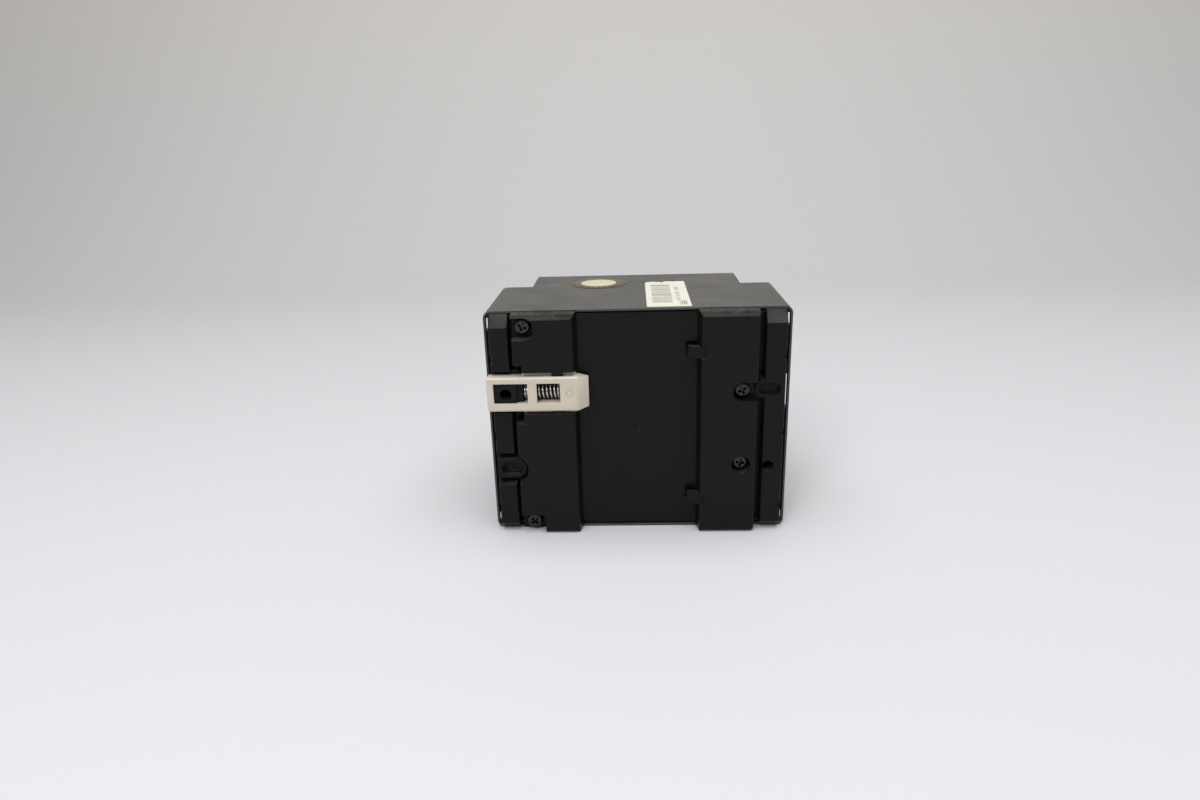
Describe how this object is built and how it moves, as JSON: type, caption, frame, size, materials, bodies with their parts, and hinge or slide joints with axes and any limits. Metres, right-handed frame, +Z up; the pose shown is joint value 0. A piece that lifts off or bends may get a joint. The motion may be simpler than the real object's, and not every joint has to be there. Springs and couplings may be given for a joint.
{
  "type": "control relay module",
  "caption": "Rail-mounted control relay module with a sprung rail slider, hinged terminal covers, screw terminals and relays on an inner board.",
  "frame": {"origin": "centre of the side face that it rests on", "axes": "+X towards the upper end on its rail, +Y from the back to the front, +Z up across its width"},
  "size_m": [0.09, 0.061, 0.0701],
  "materials": {
    "case_plastic": "fine spark-eroded texture",
    "base_plastic": "fine spark-eroded texture",
    "slider_plastic": "semi-gloss moulded",
    "block_plastic": "matt moulded",
    "label_paper": "matt printed film",
    "seal_film": "matt printed film",
    "label_film": "printed polyester film",
    "smoked_lens": "polished",
    "black_steel": "black zinc",
    "zinc_steel": "bright zinc",
    "spring_steel": "drawn wire",
    "tinned_brass": "tinned",
    "nickel_iron": "nickel plated",
    "contact_alloy": "polished",
    "copper_wire": "enamelled",
    "coil_tape": "polyester tape",
    "relay_plastic": "moulded",
    "bobbin_plastic": "moulded",
    "board_laminate": "solder resist",
    "chip_epoxy": "moulded epoxy",
    "capacitor_sleeve": "heat-shrunk sleeve",
    "varistor_coat": "dipped coating",
    "ferrite": "sintered",
    "fuse_glass": "clear",
    "led_resin": "clear tinted",
    "can_metal": "stamped"
  },
  "bodies": {
    "module": {"board_screws": "zinc_steel", "case_screws": "black_steel", "chip_resistors": "chip_epoxy", "clamp_plates_bottom": "zinc_steel", "clamp_plates_top": "zinc_steel", "contact_bars_bottom": "tinned_brass", "contact_bars_top": "tinned_brass", "crystal": "can_metal", "filter_capacitor": "capacitor_sleeve", "front_cover": "case_plastic", "front_label": "label_film", "fuse": "fuse_glass", "indicator_lens": "smoked_lens", "link_header": "chip_epoxy", "link_pins": "tinned_brass", "logic_board": "board_laminate", "logic_board_screws": "zinc_steel", "main_case": "case_plastic", "microcontroller": "chip_epoxy", "optocouplers": "chip_epoxy", "output_driver": "chip_epoxy", "rear_base": "base_plastic", "relay_board": "board_laminate", "relay_bobbins": "bobbin_plastic", "relay_cores": "nickel_iron", "relay_covers": "relay_plastic", "relay_fixed_contacts": "contact_alloy", "relay_headers": "bobbin_plastic", "relay_pins": "tinned_brass", "relay_windings": "copper_wire", "relay_yokes": "nickel_iron", "seal_label": "seal_film", "serial_label": "label_paper", "slider_spring": "spring_steel", "small_capacitors": "capacitor_sleeve", "status_leds": "led_resin", "terminal_block_bottom": "block_plastic", "terminal_block_top": "block_plastic", "terminal_screws_bottom": "zinc_steel", "terminal_screws_top": "zinc_steel", "transformer_coil": "coil_tape", "transformer_core": "ferrite", "varistor": "varistor_coat"},
    "rail_slider": {"din_slider": "slider_plastic"},
    "terminal_lid_top": {"terminal_cover_top": "case_plastic"},
    "terminal_lid_bottom": {"terminal_cover_bottom": "case_plastic"},
    "relay_armature_1": {"armature_1": "nickel_iron", "contact_blade_1": "contact_alloy"},
    "relay_armature_2": {"armature_2": "nickel_iron", "contact_blade_2": "contact_alloy"},
    "relay_armature_3": {"armature_3": "nickel_iron", "contact_blade_3": "contact_alloy"},
    "relay_armature_4": {"armature_4": "nickel_iron", "contact_blade_4": "contact_alloy"}
  },
  "joints": [
    {"name": "rail_slider_slide", "type": "slide", "parent": "module", "child": "rail_slider", "axis": [-1, 0, 0], "range_m": [0, 0.003], "stiffness_N_per_m": 1361, "springref_m": -0.003, "deforming": ["slider_spring"]},
    {"name": "terminal_lid_top_hinge", "type": "hinge", "parent": "module", "child": "terminal_lid_top", "pos_m": [0.0359, 0.00955, 0.035], "axis": [0, 0, 1], "range_deg": [0, 88]},
    {"name": "terminal_lid_bottom_hinge", "type": "hinge", "parent": "module", "child": "terminal_lid_bottom", "pos_m": [-0.0359, 0.00955, 0.035], "axis": [0, 0, -1], "range_deg": [0, 88]},
    {"name": "relay_armature_1_hinge", "type": "hinge", "parent": "module", "child": "relay_armature_1", "pos_m": [-0.01585, -0.0039, 0.0125], "axis": [0, 0, -1], "range_deg": [0, 4], "stiffness_Nm_per_rad": 0.01, "springref_deg": -2.86},
    {"name": "relay_armature_2_hinge", "type": "hinge", "parent": "module", "child": "relay_armature_2", "pos_m": [-0.01585, -0.0039, 0.0275], "axis": [0, 0, -1], "range_deg": [0, 4], "stiffness_Nm_per_rad": 0.01, "springref_deg": -2.86},
    {"name": "relay_armature_3_hinge", "type": "hinge", "parent": "module", "child": "relay_armature_3", "pos_m": [-0.01585, -0.0039, 0.0425], "axis": [0, 0, -1], "range_deg": [0, 4], "stiffness_Nm_per_rad": 0.01, "springref_deg": -2.86},
    {"name": "relay_armature_4_hinge", "type": "hinge", "parent": "module", "child": "relay_armature_4", "pos_m": [-0.01585, -0.0039, 0.0575], "axis": [0, 0, -1], "range_deg": [0, 4], "stiffness_Nm_per_rad": 0.01, "springref_deg": -2.86}
  ]
}
